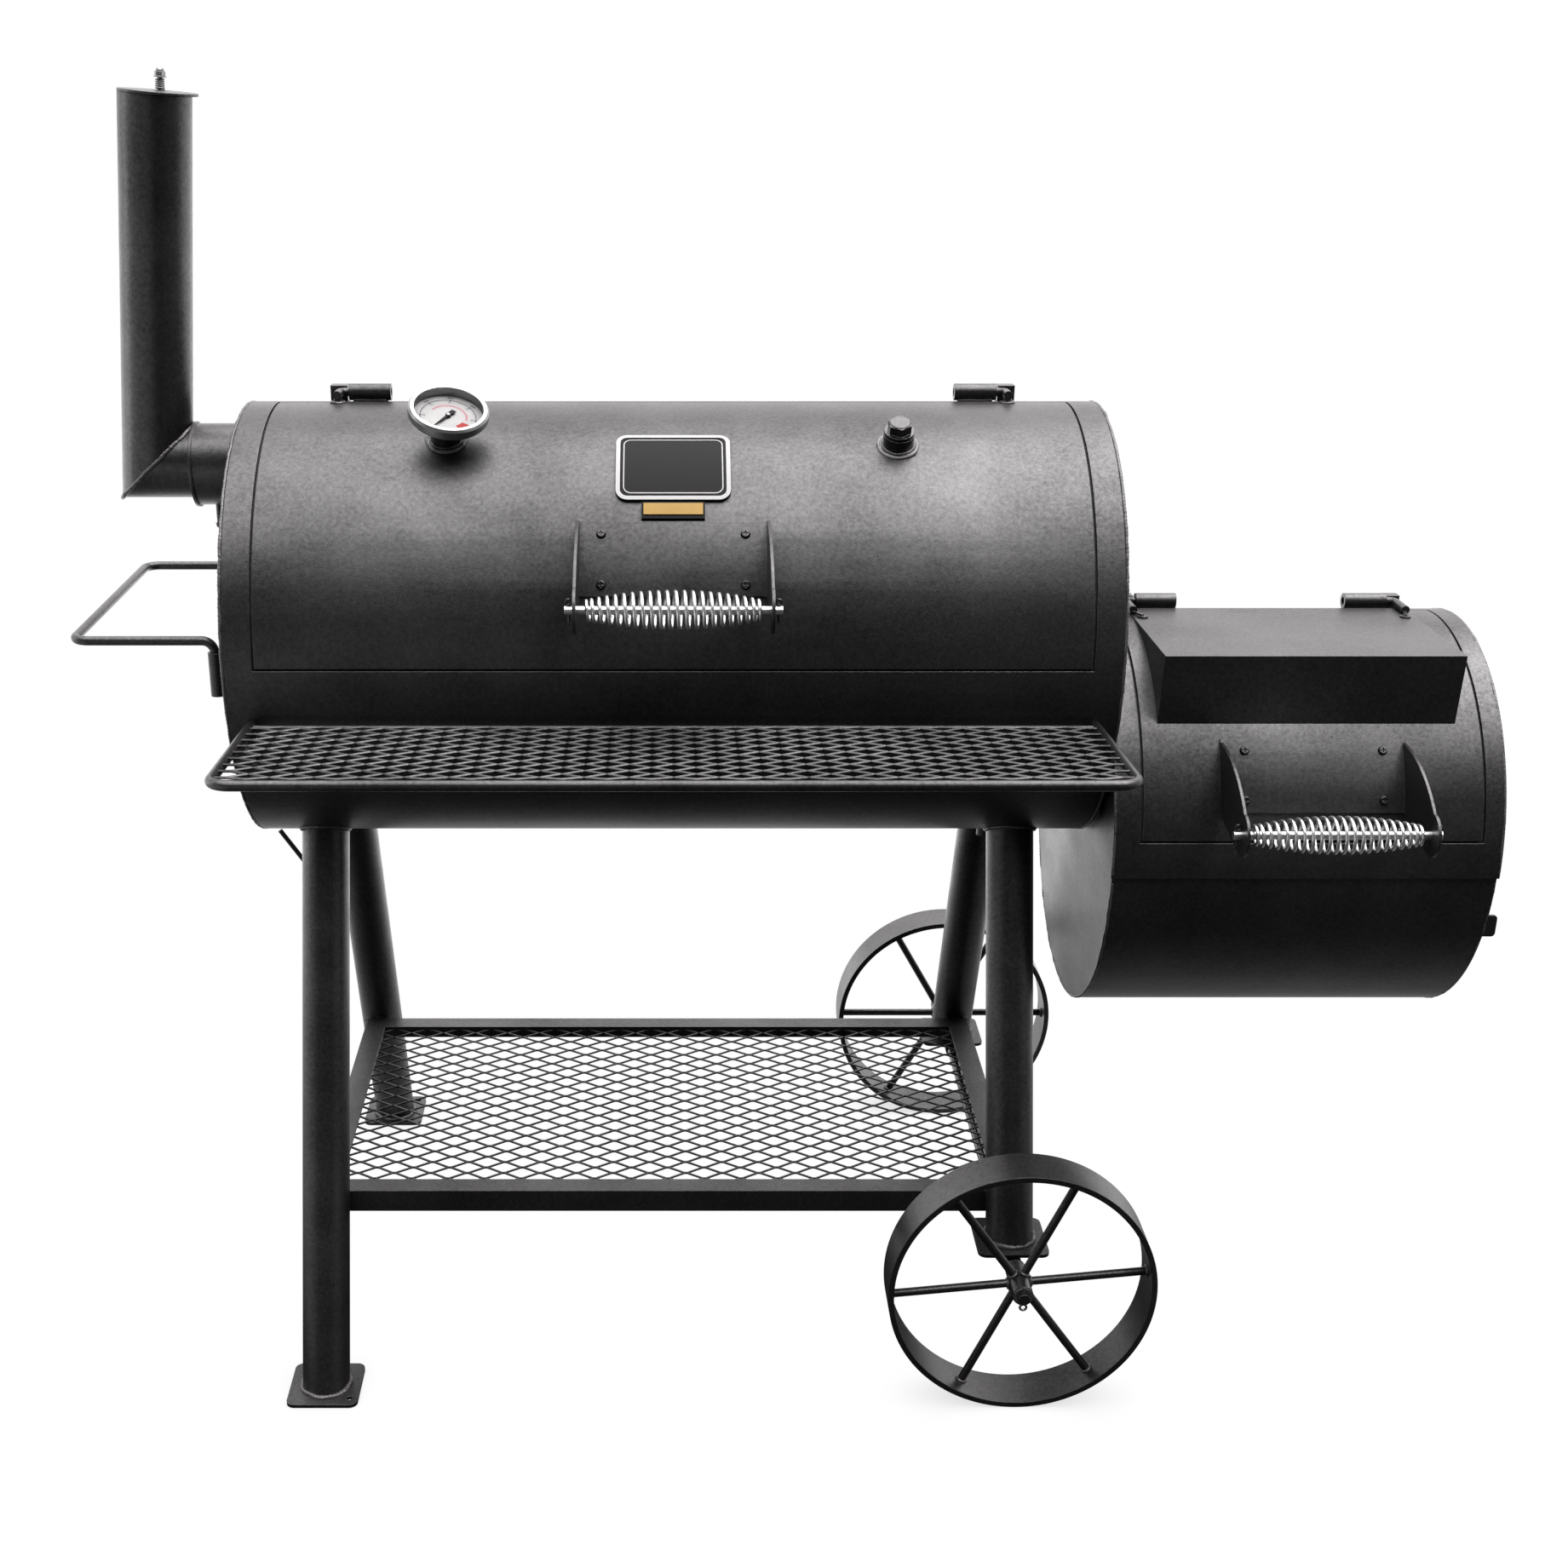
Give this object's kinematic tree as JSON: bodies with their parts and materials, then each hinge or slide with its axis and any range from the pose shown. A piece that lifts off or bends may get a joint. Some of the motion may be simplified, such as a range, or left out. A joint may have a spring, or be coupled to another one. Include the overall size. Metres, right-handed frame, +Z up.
{
  "type": "barrel charcoal grill",
  "caption": "Horizontal barrel charcoal grill with a side firebox, chimney, hinged lids with spring grips, wire shelves and a two-wheeled tubular cart.",
  "frame": {"origin": "on the floor, midway between the bolt holes of the two left feet", "axes": "+X along the barrel towards the firebox, -Y the front where the handles are, +Z up"},
  "size_m": [1.4769, 0.8158, 1.3287],
  "materials": {
    "black_paint": "Matte black heat-resistant paint on steel, fine texture, slightly worn on edges",
    "bare_iron": "Dark, dry, lightly oxidised bare steel",
    "chrome_wire": "Bright plated spring wire and rod",
    "polished_steel": "Polished stainless rim",
    "plated_steel": "Dull zinc plating",
    "dark_hardware": "Blackened steel hardware",
    "dial_face": "White printed dial face with plain tick marks",
    "dial_glass": "Clear flat glass",
    "badge_brass": "Dull brass, blank",
    "badge_metal": "Dark plate with a light border, blank"
  },
  "bodies": {
    "frame": {"main_barrel_shell": "black_paint", "left_end_cap": "black_paint", "right_end_cap": "black_paint", "lid_seal_frames": "bare_iron", "grate_rails": "bare_iron", "cooking_grates": "bare_iron", "main_hinge_tubes": "black_paint", "stack_collar": "black_paint", "collar_screw": "dark_hardware", "stack_pipe": "black_paint", "damper_bolt": "plated_steel", "damper_spring": "plated_steel", "damper_nut": "plated_steel", "side_handle": "black_paint", "side_handle_sockets": "black_paint", "front_shelf_frame": "black_paint", "front_shelf_mesh": "black_paint", "front_shelf_brackets": "black_paint", "legs_left": "black_paint", "legs_right": "black_paint", "foot_plates": "black_paint", "axle_sleeves": "black_paint", "axle": "dark_hardware", "axle_retainers": "plated_steel", "lower_shelf_frame": "black_paint", "lower_shelf_mesh": "black_paint", "grease_drain": "black_paint", "firebox_upper_shell": "black_paint", "firebox_lower_shell": "black_paint", "firebox_flange": "bare_iron", "charcoal_grate": "bare_iron", "firebox_hinge_tubes": "black_paint", "door_hinge": "dark_hardware"},
    "main_lid_body": {"main_lid": "black_paint", "main_hinge_rods": "black_paint", "main_handle_bracket": "black_paint", "main_handle_fasteners": "dark_hardware", "main_handle_rod": "chrome_wire", "lid_bungs": "black_paint", "probe_plug": "black_paint", "thermometer_case": "plated_steel", "thermometer_bezel": "polished_steel", "thermometer_dial": "dial_face", "thermometer_glass": "dial_glass", "badge_plate": "badge_metal", "brass_tag": "badge_brass"},
    "main_grip_body": {"main_grip_coil": "chrome_wire"},
    "needle_body": {"thermometer_pointer": "dark_hardware"},
    "firebox_lid_body": {"firebox_lid": "black_paint", "firebox_hood": "black_paint", "firebox_hinge_rods": "black_paint", "firebox_handle_bracket": "black_paint", "firebox_handle_fasteners": "dark_hardware", "firebox_handle_rod": "chrome_wire"},
    "firebox_grip_body": {"firebox_grip_coil": "chrome_wire"},
    "stack_damper_body": {"damper_disc": "black_paint"},
    "firebox_door_body": {"firebox_door": "black_paint"},
    "air_damper_body": {"air_damper": "black_paint"},
    "wheel_front_body": {"wheel_front": "black_paint"},
    "wheel_rear_body": {"wheel_rear": "black_paint"}
  },
  "joints": [
    {"name": "main_lid_hinge", "type": "hinge", "parent": "frame", "child": "main_lid_body", "pos_m": [0.347, 0.025, 1.01088], "axis": [-1, 0, 0], "range_deg": [0, 95]},
    {"name": "firebox_lid_hinge", "type": "hinge", "parent": "frame", "child": "firebox_lid_body", "pos_m": [1.0005, 0.038, 0.78309], "axis": [-1, 0, 0], "range_deg": [0, 95]},
    {"name": "stack_damper_swivel", "type": "hinge", "parent": "frame", "child": "stack_damper_body", "pos_m": [-0.1658, 0.026, 1.30404], "axis": [0.0837, 0, 0.9965], "range_deg": [0, 120]},
    {"name": "firebox_door_hinge", "type": "hinge", "parent": "frame", "child": "firebox_door_body", "pos_m": [1.203, 0.153, 0.485], "axis": [0, 0, 1], "range_deg": [0, 110]},
    {"name": "air_damper_turn", "type": "hinge", "parent": "firebox_door_body", "child": "air_damper_body", "pos_m": [1.2002, 0, 0.485], "axis": [1, 0, 0], "range_deg": [0, 60]},
    {"name": "wheel_front_spin", "type": "hinge", "parent": "frame", "child": "wheel_front_body", "pos_m": [0.713, -0.326, 0.1405], "axis": [0, 1, 0], "continuous": true},
    {"name": "wheel_rear_spin", "type": "hinge", "parent": "frame", "child": "wheel_rear_body", "pos_m": [0.713, 0.337, 0.1405], "axis": [0, 1, 0], "continuous": true},
    {"name": "thermometer_needle", "type": "hinge", "parent": "main_lid_body", "child": "needle_body", "pos_m": [0.12348, -0.10917, 1.00811], "axis": [-0.1392, 0.4185, -0.8975], "range_deg": [0, 240]},
    {"name": "main_grip_spin", "type": "hinge", "parent": "main_lid_body", "child": "main_grip_body", "pos_m": [0.347, -0.29694, 0.85803], "axis": [1, 0, 0], "continuous": true},
    {"name": "firebox_grip_spin", "type": "hinge", "parent": "firebox_lid_body", "child": "firebox_grip_body", "pos_m": [1.0005, -0.28758, 0.6296], "axis": [1, 0, 0], "continuous": true}
  ]
}
